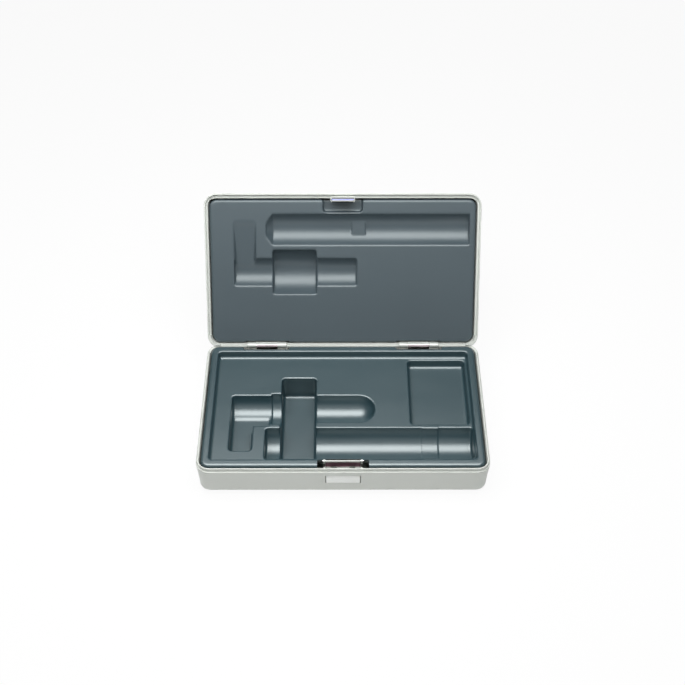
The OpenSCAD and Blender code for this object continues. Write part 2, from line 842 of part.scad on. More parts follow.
// Hook of the catch: a strip folded round and up again
module hook_section() {
  inner = hook_depth / 2 - catch_t;
  difference() {
    translate([hook_y, hook_z]) {
      circle(hook_depth / 2);
      translate([-hook_depth / 2, 0]) square([hook_depth, hook_h + bend]);
    }
    translate([hook_y, hook_z]) {
      circle(inner);
      translate([-inner, 0]) square([2 * inner, lid_h]);
      translate([0, hook_top - hook_z]) square([hook_depth, lid_h]);
    }
  }
}

// The strap follows the lid's front wall
module strap_section() {
  top = bend_z + bend + strap_h;
  top_y = strap_seat + strap_h * strap_lean;
  polygon([[strap_out, hook_z + bend], [strap_out, bend_z - bend], [strap_seat, bend_z + bend], [top_y, top],
    [top_y + catch_t, top], [strap_seat + catch_t, bend_z + bend], [strap_out + catch_t, bend_z - bend],
    [strap_out + catch_t, hook_z + bend]]);
}

module lid_catch() {
  color(nickel_colour) lid_open() difference() {
    union() {
      bar_x(-catch_w / 2, catch_w / 2) hook_section();
      bar_x(-catch_w / 2, catch_w / 2) strap_section();
    }
    catch_rivet_shanks(rivet_fit, sink);
  }
}

// Places a rivet square to the lid's front wall, at the strap's inner face
module at_catch_rivets() {
  seat_y = -inner_y + (catch_rivet_z - lid_rim_z) * strap_lean;
  both_sides() translate([catch_rivet_x, seat_y, catch_rivet_z])
    rotate([-lid_draft - 90, 0, 0]) translate([0, 0, catch_t * cos(lid_draft)]) children();
}

module catch_rivet_shanks(fit, past) {
  grip = catch_t + rivet_depth;
  at_catch_rivets() translate([0, 0, -grip]) cylinder(h = grip + past, r = rivet_r + fit);
}

module catch_rivets() {
  color(nickel_colour) lid_open() {
    catch_rivet_shanks(0, 0);
    at_catch_rivets() rivet_head();
  }
}

module push_button() {
  x = button_w / 2;
  mid = (button_top + button_foot) / 2;
  front = -half_d - button_proud;
  color(button_colour) {
    bar_x(-x, x) polygon([[front, button_foot], [cap_back, button_foot], [cap_back, button_top],
      [front + bevel_depth, button_top], [front, mid]]);
    both_sides()
      block(finger_x, finger_x + finger_w, cap_back - sink, lever_face - finger_gap,
        finger_top - finger_h, finger_top);
    block(-x, x, cap_back - sink, sill_back, button_foot, button_foot + sill_h);
    block(-x, x, sill_back - sill_t, sill_back, button_foot - sill_h, button_foot + sill_h);
  }
}

module latch_lever() {
  foot = lever_z - lever_l;
  color(latch_colour) difference() {
    bar_x(-lever_w / 2, lever_w / 2) {
      translate([lever_y, lever_z]) circle(roll_r);
      translate([lever_face, foot]) square([lever_t, lever_l]);
      translate([lever_face, nose_z])
        polygon([[sink, 0], [sink, nose_ramp], [0, nose_ramp], [-nose_out, nose_tip], [-nose_out, 0]]);
    }
    rod_x(-lever_w, lever_w, lever_y, lever_z, latch_pin_r + pin_play);
    both_sides() translate([nose_cut_x, 0, 0])
      block(-nose_cut_w / 2, nose_cut_w / 2, lever_face - over, lever_face, nose_z - over, lever_z - roll_r);
  }
}

module latch_pin() {
  color(nickel_colour) rod_x(-pin_reach, pin_reach, lever_y, lever_z, latch_pin_r);
}

module latch_spring() {
  t = spring_t;
  heel = spring_y + boss_d - sink;
  color(nickel_colour) difference() {
    bar_x(-spring_w / 2, spring_w / 2) polygon([[heel, boss_z], [spring_y, boss_z],
      [spring_touch, spring_tip - spring_flat], [spring_touch, spring_tip], [spring_touch + t, spring_tip],
      [spring_touch + t, spring_tip - spring_flat], [spring_y + t, boss_z + t], [heel, boss_z + t]]);
    spring_rivet_shank(rivet_fit, sink);
  }
}

module spring_rivet_shank(fit, past) {
  translate([0, spring_y + boss_d / 2, boss_z - boss_rivet_l])
    cylinder(h = boss_rivet_l + spring_t + past, r = rivet_r + fit);
}

module spring_rivet() {
  color(nickel_colour) {
    spring_rivet_shank(0, 0);
    translate([0, spring_y + boss_d / 2, boss_z + spring_t]) rivet_head();
  }
}

base_shell();
base_tray();
pockets_left();
finger_well();
pockets_right();
hinge_base_leaf_left();
hinge_base_leaf_right();
hinge_pin_left();
hinge_pin_right();
base_leaf_rivets_left();
base_leaf_rivets_right();
lid_shell();
lid_tray();
hinge_lid_leaf_left();
hinge_lid_leaf_right();
lid_leaf_rivets_left();
lid_leaf_rivets_right();
lid_catch();
catch_rivets();
push_button();
latch_lever();
latch_pin();
latch_spring();
spring_rivet();
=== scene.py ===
import math
import bpy
import bmesh
import numpy as np
from mathutils import Matrix, Vector


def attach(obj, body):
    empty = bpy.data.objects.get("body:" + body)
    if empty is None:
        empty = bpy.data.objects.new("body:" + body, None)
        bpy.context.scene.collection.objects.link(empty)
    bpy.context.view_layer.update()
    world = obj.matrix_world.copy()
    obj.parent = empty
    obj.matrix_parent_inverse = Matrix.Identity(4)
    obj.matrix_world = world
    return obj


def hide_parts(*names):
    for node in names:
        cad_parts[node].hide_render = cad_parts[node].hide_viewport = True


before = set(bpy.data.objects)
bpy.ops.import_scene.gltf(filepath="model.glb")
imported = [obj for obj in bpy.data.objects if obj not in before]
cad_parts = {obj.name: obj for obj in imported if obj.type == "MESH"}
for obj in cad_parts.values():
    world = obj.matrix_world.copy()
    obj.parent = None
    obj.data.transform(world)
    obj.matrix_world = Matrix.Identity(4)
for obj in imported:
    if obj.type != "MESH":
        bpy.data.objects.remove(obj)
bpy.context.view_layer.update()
scene = bpy.context.scene
mm = 0.001
print("frame loaded:", len(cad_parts), "nodes")


def deselectAll():
    bpy.ops.object.select_all(action="DESELECT")


def makeActive(obj):
    deselectAll()
    obj.select_set(True)
    bpy.context.view_layer.objects.active = obj


def applyModifier(obj, kind, **values):
    makeActive(obj)
    modifier = obj.modifiers.new(kind.lower(), kind)
    for key, value in values.items():
        setattr(modifier, key, value)
    bpy.ops.object.modifier_apply(modifier=modifier.name)


def smoothByAngle(obj, degrees):
    makeActive(obj)
    bpy.ops.object.shade_smooth_by_angle(angle=math.radians(degrees))


lidTurn = {"hinge": (59.25, 30.5), "opened": 126.0}  # mm and degrees


# takes the closed lid to where it stands open
def openTurn(unit=1.0):
    y, z = (v * unit for v in lidTurn["hinge"])
    turn = Matrix.Rotation(math.radians(-lidTurn["opened"]), 4, "X")
    return Matrix.Translation((0, y, z)) @ turn @ Matrix.Translation((0, -y, -z))


def newGroup(name, inputs, outputs):
    tree = bpy.data.node_groups.new(name, "ShaderNodeTree")
    for label, kind, value in inputs:
        socket = tree.interface.new_socket(label, in_out="INPUT", socket_type=kind)
        if value is not None:
            socket.default_value = value
    for label, kind in outputs:
        tree.interface.new_socket(label, in_out="OUTPUT", socket_type=kind)
    return tree, tree.nodes.new("NodeGroupInput"), tree.nodes.new("NodeGroupOutput")


def addNode(tree, kind, **values):
    node = tree.nodes.new(kind)
    for key, value in values.items():
        if key in node.inputs:
            node.inputs[key].default_value = value
        else:
            setattr(node, key, value)
    return node


# sockets 6 and 7 of a mix node take its two colours
def mixColours(tree, factor, first, second):
    node = addNode(tree, "ShaderNodeMix", data_type="RGBA")
    tree.links.new(factor, node.inputs["Factor"])
    node.inputs[6].default_value = first
    node.inputs[7].default_value = second
    return node.outputs[2]


grainNoise = {
    "fine": {"Detail": 3.0, "Roughness": 0.6}, "slow": {"Detail": 2.0, "Roughness": 0.5},
    "grainScale": 2600.0, "driftScale": 22.0,
}


# fine moulded or embossed grain: a height for the bump and a slow drift of tone
def buildMouldGrain():
    tree, start, end = newGroup(
        "mouldGrain",
        [("Vector", "NodeSocketVector", None),
         ("Grain Scale", "NodeSocketFloat", grainNoise["grainScale"]),
         ("Drift Scale", "NodeSocketFloat", grainNoise["driftScale"])],
        [("Height", "NodeSocketFloat"), ("Drift", "NodeSocketFloat")])
    fine = addNode(tree, "ShaderNodeTexNoise", **grainNoise["fine"])
    slow = addNode(tree, "ShaderNodeTexNoise", **grainNoise["slow"])
    for tex, label in ((fine, "Grain Scale"), (slow, "Drift Scale")):
        tree.links.new(start.outputs["Vector"], tex.inputs["Vector"])
        tree.links.new(start.outputs[label], tex.inputs["Scale"])
    tree.links.new(fine.outputs["Fac"], end.inputs["Height"])
    tree.links.new(slow.outputs["Fac"], end.inputs["Drift"])
    return tree


wipeCloud = {
    "noise": {"Detail": 4.0, "Roughness": 0.65}, "stretch": (0.35, 1.0, 1.0), "span": (0.3, 0.7),
    "scale": 60.0, "roughness": (0.3, 0.4),
}


# faint wipe marks that change the gloss
def buildWipeMarks():
    low, high = wipeCloud["roughness"]
    tree, start, end = newGroup(
        "wipeMarks",
        [("Vector", "NodeSocketVector", None), ("Scale", "NodeSocketFloat", wipeCloud["scale"]),
         ("Low", "NodeSocketFloat", low), ("High", "NodeSocketFloat", high)],
        [("Roughness", "NodeSocketFloat")])
    stretch = addNode(tree, "ShaderNodeMapping", Scale=wipeCloud["stretch"])
    cloud = addNode(tree, "ShaderNodeTexNoise", **wipeCloud["noise"])
    span = addNode(tree, "ShaderNodeMapRange")
    span.inputs["From Min"].default_value, span.inputs["From Max"].default_value = wipeCloud["span"]
    tree.links.new(start.outputs["Vector"], stretch.inputs["Vector"])
    tree.links.new(stretch.outputs["Vector"], cloud.inputs["Vector"])
    tree.links.new(start.outputs["Scale"], cloud.inputs["Scale"])
    tree.links.new(cloud.outputs["Fac"], span.inputs["Value"])
    tree.links.new(start.outputs["Low"], span.inputs["To Min"])
    tree.links.new(start.outputs["High"], span.inputs["To Max"])
    tree.links.new(span.outputs["Result"], end.inputs["Roughness"])
    return tree


mouldGrain = buildMouldGrain()
wipeMarks = buildWipeMarks()


def buildFinish(name, look):
    material = bpy.data.materials.new(name)
    material.use_nodes = True
    tree = material.node_tree
    shader = tree.nodes["Principled BSDF"]
    coords = tree.nodes.new("ShaderNodeTexCoord")
    grain = addNode(tree, "ShaderNodeGroup", node_tree=mouldGrain)
    grain.inputs["Grain Scale"].default_value = look["grainScale"]
    grain.inputs["Drift Scale"].default_value = look["driftScale"]
    wipe = addNode(tree, "ShaderNodeGroup", node_tree=wipeMarks)
    wipe.inputs["Scale"].default_value = look["wipeScale"]
    wipe.inputs["Low"].default_value, wipe.inputs["High"].default_value = look["roughness"]
    for group in (grain, wipe):
        tree.links.new(coords.outputs["Object"], group.inputs["Vector"])
    tone = mixColours(tree, grain.outputs["Drift"], look["dark"] + (1,), look["light"] + (1,))
    tree.links.new(tone, shader.inputs["Base Color"])
    tree.links.new(wipe.outputs["Roughness"], shader.inputs["Roughness"])
    bump = addNode(
        tree, "ShaderNodeBump", Strength=look["bump"], Distance=look["bumpDepth"] * mm)
    tree.links.new(grain.outputs["Height"], bump.inputs["Height"])
    tree.links.new(bump.outputs["Normal"], shader.inputs["Normal"])
    shader.inputs["Metallic"].default_value = look["metallic"]
    shader.inputs["Specular IOR Level"].default_value = look["specular"]
    shader.inputs["IOR"].default_value = look.get("ior", 1.5)
    shader.inputs["Specular Tint"].default_value = look.get("specularTint", (1, 1, 1)) + (1,)
    return material


# what the plastics, the two sheets and the metals have in common
moulded = {"metallic": 0.0, "specular": 0.5}
formed = {
    "metallic": 0.0, "specular": 0.5, "specularTint": (0.93, 1.0, 1.0), "grainScale": 3000.0,
    "driftScale": 24.0, "wipeScale": 46.0, "bump": 0.06, "bumpDepth": 0.04,
}
plated = {
    "specular": 0.5, "grainScale": 900.0, "driftScale": 60.0, "wipeScale": 220.0, "bump": 0.03,
    "bumpDepth": 0.02,
}
looks = {
    "greyShell": {
        **moulded, "dark": (0.60, 0.625, 0.585), "light": (0.635, 0.66, 0.62),
        "roughness": (0.40, 0.48), "grainScale": 2400.0, "driftScale": 18.0, "wipeScale": 40.0,
        "bump": 0.05, "bumpDepth": 0.05},
    "slateSheet": {
        **formed, "dark": (0.011, 0.038, 0.049), "light": (0.014, 0.043, 0.055),
        "roughness": (0.35, 0.39), "ior": 2.3},
    # the same slate as the base's sheet, painted lighter and greyer for the light that falls on the
    # open lid
    "slateLidPaintedLighter": {
        **formed, "dark": (0.051, 0.071, 0.083), "light": (0.056, 0.078, 0.091),
        "roughness": (0.36, 0.40), "ior": 1.75},
    "brightNickel": {
        **plated, "dark": (0.62, 0.61, 0.61), "light": (0.68, 0.67, 0.67),
        "roughness": (0.08, 0.13), "metallic": 1.0},
    "satinNickel": {
        **plated, "dark": (0.58, 0.605, 0.57), "light": (0.63, 0.655, 0.62),
        "roughness": (0.36, 0.44), "metallic": 0.35, "grainScale": 1800.0, "bump": 0.04},
    # painted pink reflection for the top of the hinge's middle tab
    "paintedPinkReflection": {
        **plated, "dark": (0.62, 0.53, 0.56), "light": (0.70, 0.61, 0.635),
        "roughness": (0.24, 0.32), "metallic": 0.4},
    # painted plum reflection on the lever's plated face
    "paintedPlumReflection": {
        **plated, "dark": (0.135, 0.055, 0.078), "light": (0.16, 0.068, 0.094),
        "roughness": (0.36, 0.44), "metallic": 0.2, "driftScale": 80.0, "wipeScale": 200.0},
    # painted blue reflection along the catch's bend
    "paintedBlueReflection": {
        **plated, "dark": (0.13, 0.14, 0.50), "light": (0.16, 0.17, 0.58),
        "roughness": (0.26, 0.34), "metallic": 0.3},
    # painted shade: near black, put where shade falls in slots, behind ribs and under parts
    "paintedShade": {
        **plated, "dark": (0.016, 0.014, 0.012), "light": (0.024, 0.021, 0.018),
        "roughness": (0.36, 0.46), "metallic": 0.4, "specular": 0.3, "grainScale": 1400.0,
        "wipeScale": 200.0, "bump": 0.04},
    # the button's plastic, painted paler than the shell's to stand in for the light on its upper
    # half
    "paintedPaleButton": {
        **moulded, "dark": (0.84, 0.865, 0.835), "light": (0.87, 0.895, 0.865),
        "roughness": (0.26, 0.34), "grainScale": 2600.0, "driftScale": 50.0, "wipeScale": 120.0,
        "bump": 0.03, "bumpDepth": 0.03},
    "springSteel": {
        **plated, "dark": (0.42, 0.43, 0.44), "light": (0.50, 0.51, 0.52),
        "roughness": (0.24, 0.34), "metallic": 1.0, "grainScale": 1400.0, "driftScale": 70.0,
        "wipeScale": 240.0, "bump": 0.04},
}
finishes = {name: buildFinish(name, look) for name, look in looks.items()}
print("finishes built:", len(finishes))


# formed sheets: open space is below zero, and the sheet's face is where the field is zero
def planField(x, y, x0, x1, y0, y1, r):
    dx = np.abs(x - (x0 + x1) / 2) - (x1 - x0) / 2 + r
    dy = np.abs(y - (y0 + y1) / 2) - (y1 - y0) / 2 + r
    outside = np.hypot(np.maximum(dx, 0), np.maximum(dy, 0))
    return outside + np.minimum(np.maximum(dx, dy), 0) - r


# what lies in both spaces, with the inside corner rounded
def meetRound(a, b, r):
    corner = np.hypot(np.maximum(a + r, 0), np.maximum(b + r, 0))
    return np.minimum(np.maximum(a + r, b + r), 0) + corner - r


# what lies in either space, with the edge between them rounded
def joinRound(a, b, r):
    return np.maximum(r, np.minimum(a, b)) - np.hypot(np.maximum(r - a, 0), np.maximum(r - b, 0))


def pocketField(x, y, z, plan, floor, top, r, fillet, draft):
    walls = planField(x, y, *plan, r) + (top - z) * draft
    return meetRound(walls, floor - z, fillet)


# round trough along the case, upright above its axis
def troughField(x, y, z, x0, x1, axisY, axisZ, radius, fillet):
    across = np.abs(y - axisY) + 0 * z
    around = np.where(z < axisZ, np.hypot(y - axisY, z - axisZ), across) - radius
    return meetRound(around, np.maximum(x0 - x, x - x1), fillet)


far = 1e3  # mm, out of reach of every piece

baseSheet = {
    "outline": (-104.2, 104.2, -57.5, 57.2), "corner": 6.0, "top": 32.0, "skirt": 5.0,
    "skirtReach": 1.0, "gauge": 0.9, "deck": (-98.4, 98.4, -50.95, 51.2), "deckZ": 25.5,
    "pocketR": 3.0, "rimRound": 2.4, "lipRound": 1.0, "fillet": 2.2, "draft": 0.035,
    "handle": {
        "x": (-58.4, 97.3), "y": -32.3, "r": 13.7, "fillet": 2.0,
        "band": (59.5, 71.9), "bandRise": 0.5, "bandEdge": 0.5},
    "head": {"x": (-85.3, -55.1), "over": 3, "y": -0.2, "r": 12.45, "fillet": 2.0},
    "collar": {"x": (-55.1, -45.0), "r": 14.2, "fillet": 1.2, "lipRound": 0.6},
    "neck": {"x": (-23.0, 11.85), "fillet": 0.2, "domeOver": 4},
    "root": (-85.3, -55.1, -16.25, 0.55), "leg": (-85.3, -68.0, -38.95, 0.55), "legFloor": 12.3,
    "well": (-47.4, -20.6, -44.05, 29.35), "wellFloor": 3.1, "wellDraft": 0.6,
    "accessory": (51.2, 96.0, -15.1, 47.2), "accessoryFloor": 18.5, "accessoryDraft": 2,
    "notch": (18.9, -47.4), "notchMargin": 4,
    "bay": {"x": 60.5, "half": 17.5, "y": 53.4, "flare": 4.0, "back": 61.25, "margin": 4},
    # walls along each axis, then the fine step, the coarse step and the reach of the fine one
    "grid": {
        "margin": 1.7, "z": (1.4, 33.6),
        "wallsX": (-98.4, 98.4, -85.3, -68.0, -58.4, -55.1, -47.4, -20.6, 24.0, 51.2, 59.5, 71.9,
                   96.0),
        "wallsY": (-50.95, -45.4, -39.0, -18.4, -14.8, 13.0, 29.35, 47.2, 51.2),
        "wallsZ": (3.1, 12.3, 18.5, 25.5, 32.0),
        "stepX": (0.7, 1.9, 2.2), "stepY": (0.7, 1.5, 2.0), "stepZ": (0.7, 1.5, 1.6)},
}


def baseField(x, y, z):
    b = baseSheet
    h, head, collar, neck = b["handle"], b["head"], b["collar"], b["neck"]
    deckZ, r = b["deckZ"], b["lipRound"]
    inBand = np.minimum(x - h["band"][0], h["band"][1] - x) / h["bandEdge"] + 0.5
    grip = h["r"] - h["bandRise"] * np.clip(inBand, 0, 1)
    handle = troughField(x, y, z, *h["x"], h["y"], deckZ, grip, h["fillet"])
    headTrough = troughField(
        x, y, z, head["x"][0], head["x"][1] + head["over"], head["y"], deckZ, head["r"],
        head["fillet"])
    collarTrough = troughField(
        x, y, z, *collar["x"], head["y"], deckZ, collar["r"], collar["fillet"])
    neckTrough = troughField(x, y, z, *neck["x"], head["y"], deckZ, head["r"], neck["fillet"])
    domeX = neck["x"][1]
    flatR = np.hypot(x - domeX, y - head["y"])
    dome = np.where(z < deckZ, np.hypot(flatR, z - deckZ), flatR) - head["r"]
    neckTrough = np.minimum(neckTrough, np.where(x > domeX - neck["domeOver"], dome, far))

    def pocket(plan, floor, top=deckZ, steep=1):
        return pocketField(
            x, y, z, plan, floor, top, b["pocketR"], b["fillet"], b["draft"] * steep)

    root = pocket(b["root"], b["legFloor"])
    leg = pocket(b["leg"], b["legFloor"])
    well = pocket(b["well"], b["wellFloor"], steep=b["wellDraft"])
    accessory = pocket(b["accessory"], b["accessoryFloor"], steep=b["accessoryDraft"])
    deck = pocket(b["deck"], deckZ, top=b["top"])
    hollow = np.minimum(np.minimum(headTrough, root), leg)
    hollow = joinRound(hollow, collarTrough, collar["lipRound"])
    hollow = joinRound(hollow, well, r)
    hollow = joinRound(hollow, neckTrough, r)
    hollow = joinRound(hollow, handle, r)
    hollow = np.minimum(hollow, accessory)
    space = joinRound(hollow, deck, r)
    space = joinRound(space, b["top"] - z + 0 * x, r)
    return joinRound(space, -planField(x, y, *b["outline"], b["corner"]) + 0 * z, b["rimRound"])


lidSheet = {
    "outline": (-103.8, 103.8, -56.2, 57.5), "corner": 6.0, "face": 32.6, "skirt": 5.0,
    "skirtReach": 1.0, "gauge": 0.9, "rimRound": 1.8, "lipRound": 0.9, "fillet": 1.6,
    "axisZ": 25.5,
    "handle": {
        "x": (-59.9, 98.8), "y": -33.0, "r": 14.15, "cone": 5.3, "coneR": 8.7, "endFillet": 0.6},
    "pad": {"x": 12.5, "length": 10.7, "z": 38.38},
    "head": {"x": (-85.3, 11.1), "y": 0.55, "r": 13.2},
    "wideBay": {"x": (-55.1, -20.6), "r": 19.1, "lipRound": 1.2},
    "leg": {
        "x": (-85.3, -68.0), "y": (-38.6, 0.55), "step": 0.9, "run": 3.0, "runs": 9,
        "fall": 0.125, "draft": 0.45, "fillet": 1.0},
    "recess": {
        "plan": (-15.5, 15.5, -70.0, -46.2), "depth": 5.0, "r": 3.0, "fillet": 1.2, "draft": 0.06},
    "bay": {"x": 60.5, "half": 17.5, "y": 56.15, "flare": 0.0, "back": 61.25, "margin": 4},
    "grid": {
        "margin": 1.7, "z": (-46.0, -31.0),
        "wallsX": (-85.3, -68.0, -59.9, -55.1, -20.6, 7.15, 17.85, 11.1, -15.5, 15.5, 98.8),
        "wallsY": (-46.2, -45.2, -38.6, -20.8, -11.0, 11.9, 15.0, 18.2),
        "wallsZ": (-37.6, -32.6),
        "stepX": (0.7, 2.2, 2.0), "stepY": (0.7, 1.6, 1.8), "stepZ": (0.7, 1.1, 1.2)},
}


# the lid's sheet is drawn closed and upside down, so its hollows also go down
def lidField(x, y, z):
    s = lidSheet
    h, head, wide, pad, g = s["handle"], s["head"], s["wideBay"], s["pad"], s["leg"]
    face, axisZ = -s["face"], -s["axisZ"]
    ramp = np.clip((x - h["x"][0]) / h["cone"], 0, 1)
    grip = h["coneR"] + (h["r"] - h["coneR"]) * ramp
    handle = troughField(x, y, z, *h["x"], h["y"], axisZ, grip, h["endFillet"])
    flat = np.maximum(np.abs(x - pad["x"]) - pad["length"] / 2, z + pad["z"])
    handle = np.maximum(handle, -flat)
    headTrough = troughField(x, y, z, *head["x"], head["y"], axisZ, head["r"], s["fillet"])
    bay = troughField(x, y, z, *wide["x"], head["y"], axisZ, wide["r"], s["fillet"])
    # the leg's floor drops off its soft upper end, then falls slowly to the head
    y0, y1 = g["y"]
    along = (y - y0) / g["run"]
    floor = face - g["step"] * np.tanh(along) - g["fall"] * (y - y0)
    drop = np.cosh(np.clip(along, -g["runs"], g["runs"])) ** 2
    steep = g["step"] / g["run"] / drop + g["fall"]
    walls = np.abs(x - sum(g["x"]) / 2) - (g["x"][1] - g["x"][0]) / 2 + (face - z) * g["draft"]
    leg = meetRound(walls, (floor - z) / np.hypot(1, steep), g["fillet"])
    leg = np.maximum(leg, y - y1)
    k = s["recess"]
    recess = pocketField(
        x, y, z, k["plan"], face - k["depth"], face, k["r"], k["fillet"], k["draft"])
    hollow = np.minimum(headTrough, leg)
    hollow = joinRound(hollow, bay, wide["lipRound"])
    hollow = np.minimum(np.minimum(hollow, handle), recess)
    space = joinRound(hollow, face - z + 0 * x, s["lipRound"])
    return joinRound(space, -planField(x, y, *s["outline"], s["corner"]) + 0 * z, s["rimRound"])


# lines of the grid, close together near the walls that are named
def gridLines(low, high, walls, fine, coarse, reach):
    lines = [low]
    while lines[-1] < high:
        at = lines[-1]
        near = min(abs(at - w) for w in walls)
        ahead = min([w - at for w in walls if w > at] or [far])
        step = fine if near <= reach else min(coarse, max(fine, ahead - reach))
        lines.append(at + step)
    return np.array(lines)


def sheetGrid(sheet):
    g, m = sheet["grid"], sheet["grid"]["margin"]
    x0, x1, y0, y1 = sheet["outline"]
    return (
        gridLines(x0 - m, x1 + m, (x0, x1) + g["wallsX"], *g["stepX"]),
        gridLines(y0 - m, y1 + m, (y0, y1) + g["wallsY"], *g["stepY"]),
        gridLines(*g["z"], g["wallsZ"], *g["stepZ"]))


# how the skin of a field is evened out: lengths in mm
skin = {
    "probe": 0.02, "rounds": 4, "ease": 0.4, "returns": 2, "leastSlope": 0.2, "farthest": 0.6,
    "tiny": 1e-9, "smooth": 38,
}


def fieldGradient(field, v):
    e = skin["probe"]
    parts = []
    for axis in range(3):
        d = np.zeros(3)
        d[axis] = e
        parts.append((field(*(v + d).T) - field(*(v - d).T)) / (2 * e))
    return np.stack(parts, 1)


# faces the surface where the field is zero with quads, one point for each cell that it crosses
def skinField(field, xs, ys, zs):
    lines = (xs, ys, zs)
    f = field(xs[:, None, None], ys[None, :, None], zs[None, None, :])
    inside = f < 0
    cells = tuple(n - 1 for n in f.shape)
    total = np.zeros(cells + (3,))
    count = np.zeros(cells)
    crossings = []
    for axis in range(3):
        low = [slice(None)] * 3
        high = [slice(None)] * 3
        low[axis], high[axis] = slice(None, -1), slice(1, None)
        hit = np.argwhere(inside[tuple(low)] != inside[tuple(high)])
        step = np.eye(3, dtype=int)[axis]
        a, b = f[tuple(hit.T)], f[tuple((hit + step).T)]
        share = a / (a - b)
        point = np.stack([lines[k][hit[:, k]] for k in range(3)], 1)
        point[:, axis] += share * (lines[axis][hit[:, axis] + 1] - lines[axis][hit[:, axis]])
        crossings.append((axis, hit))
        u, w = [k for k in range(3) if k != axis]
        for du in (0, 1):
            for dw in (0, 1):
                cell = hit.copy()
                cell[:, u] -= du
                cell[:, w] -= dw
                ok = ((cell >= 0) & (cell < np.array(cells))).all(1)
                np.add.at(total, tuple(cell[ok].T), point[ok])
                np.add.at(count, tuple(cell[ok].T), 1)
    used = count > 0
    index = np.full(cells, -1)
    index[used] = np.arange(used.sum())
    verts = total[used] / count[used][:, None]
    quads = []
    for axis, hit in crossings:
        u, w = [k for k in range(3) if k != axis]
        ring = []
        for du, dw in ((1, 1), (0, 1), (0, 0), (1, 0)):
            cell = hit.copy()
            cell[:, u] -= du
            cell[:, w] -= dw
            ring.append(cell)
        ok = np.all([((c >= 0) & (c < np.array(cells))).all(1) for c in ring], 0)
        quads.append(np.stack([index[tuple(c[ok].T)] for c in ring], 1))
    quads = np.concatenate(quads)
    # even the points out along the surface, then bring them back to it
    edges = np.concatenate([quads[:, [k, (k + 1) % 4]] for k in range(4)])
    for turn in range(skin["rounds"]):
        if turn:
            near = np.zeros_like(verts)
            times = np.zeros(len(verts))
            for a, b in ((0, 1), (1, 0)):
                np.add.at(near, edges[:, a], verts[edges[:, b]])
                np.add.at(times, edges[:, a], 1)
            mean = near / times[:, None]
            normal = fieldGradient(field, verts)
            normal /= np.linalg.norm(normal, axis=1)[:, None] + skin["tiny"]
            shift = mean - verts
            shift -= normal * (shift * normal).sum(1)[:, None]
            verts = verts + skin["ease"] * shift
        for again in range(skin["returns"]):
            g = fieldGradient(field, verts)
            size = (g * g).sum(1)
            move = -g * (field(*verts.T) / np.maximum(size, skin["leastSlope"]))[:, None]
            reach = np.maximum(np.linalg.norm(move, axis=1), skin["tiny"])
            verts = verts + move * np.minimum(1, skin["farthest"] / reach)[:, None]
    # every face looks into the open space
    p = verts[quads]
    facing = np.cross(p[:, 2] - p[:, 0], p[:, 3] - p[:, 1])
    g = fieldGradient(field, p.mean(1))
    turned = (facing * g).sum(1) > 0
    quads[turned] = quads[turned][:, ::-1]
    return verts, quads


def meshObject(name, verts, quads):
    mesh = bpy.data.meshes.new(name)
    mesh.from_pydata(verts.tolist(), [], quads.tolist())
    mesh.update()
    obj = bpy.data.objects.new(name, mesh)
    scene.collection.objects.link(obj)
    return obj


# goes into edit mode with the faces selected that are chosen by their middles
def pickFaces(obj, chosen, unit=1.0):
    makeActive(obj)
    bpy.ops.object.mode_set(mode="EDIT")
    bpy.ops.mesh.select_mode(type="FACE")
    bpy.ops.mesh.select_all(action="DESELECT")
    work = bmesh.from_edit_mesh(obj.data)
    for face in work.faces:
        face.select = chosen(face.calc_center_median() / unit)
    bmesh.update_edit_mesh(obj.data)


# cuts the chosen faces along a plane given in mm
def cutAlong(obj, chosen, point, normal, unit=1.0):
    pickFaces(obj, chosen, unit)
    bpy.ops.mesh.bisect(plane_co=[v * unit for v in point], plane_no=normal)
    bpy.ops.object.mode_set(mode="OBJECT")


def dropFaces(obj, chosen):
    pickFaces(obj, chosen)
    bpy.ops.mesh.delete(type="FACE")
    bpy.ops.object.mode_set(mode="OBJECT")


# hinge bays are cut out of the rear edge
def trimBays(obj, bay):
    lean = bay["flare"] / (bay["back"] - bay["y"])
    span = bay["half"] + bay["flare"] + bay["margin"]
    for side in (-1, 1):
        mid = side * bay["x"]

        def near(c):
            return abs(c.x - mid) < span and c.y > bay["y"] - bay["margin"]

        def within(c):
            return c.y > bay["y"] and abs(c.x - mid) < bay["half"] + (c.y - bay["y"]) * lean

        cutAlong(obj, near, (mid, bay["y"], 0), (0, 1, 0))
        for end in (-1, 1):
            corner = (mid + end * bay["half"], bay["y"], 0)
            cutAlong(obj, lambda c: near(c) and c.y > bay["y"], corner, (end, -lean, 0))
        dropFaces(obj, within)


# the skirt ends at a height, and what lies beyond it on the given side goes
def trimSkirt(obj, sheet, edgeZ, side):
    def onSkirt(c):
        inset = planField(np.float64(c.x), np.float64(c.y), *sheet["outline"], sheet["corner"])
        return inset > -sheet["skirtReach"]

    cutAlong(obj, onSkirt, (0, 0, edgeZ), (0, 0, 1))
    dropFaces(obj, lambda c: onSkirt(c) and (c.z - edgeZ) * side > 0)


def finishSheet(obj, gauge, finish, body, nodes):
    applyModifier(
        obj, "SOLIDIFY", thickness=gauge, offset=-1, use_even_offset=False, use_rim=True)
    obj.data.transform(Matrix.Scale(mm, 4))
    smoothByAngle(obj, skin["smooth"])
    obj.data.materials.append(finishes[finish])
    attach(obj, body)
    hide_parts(*nodes)


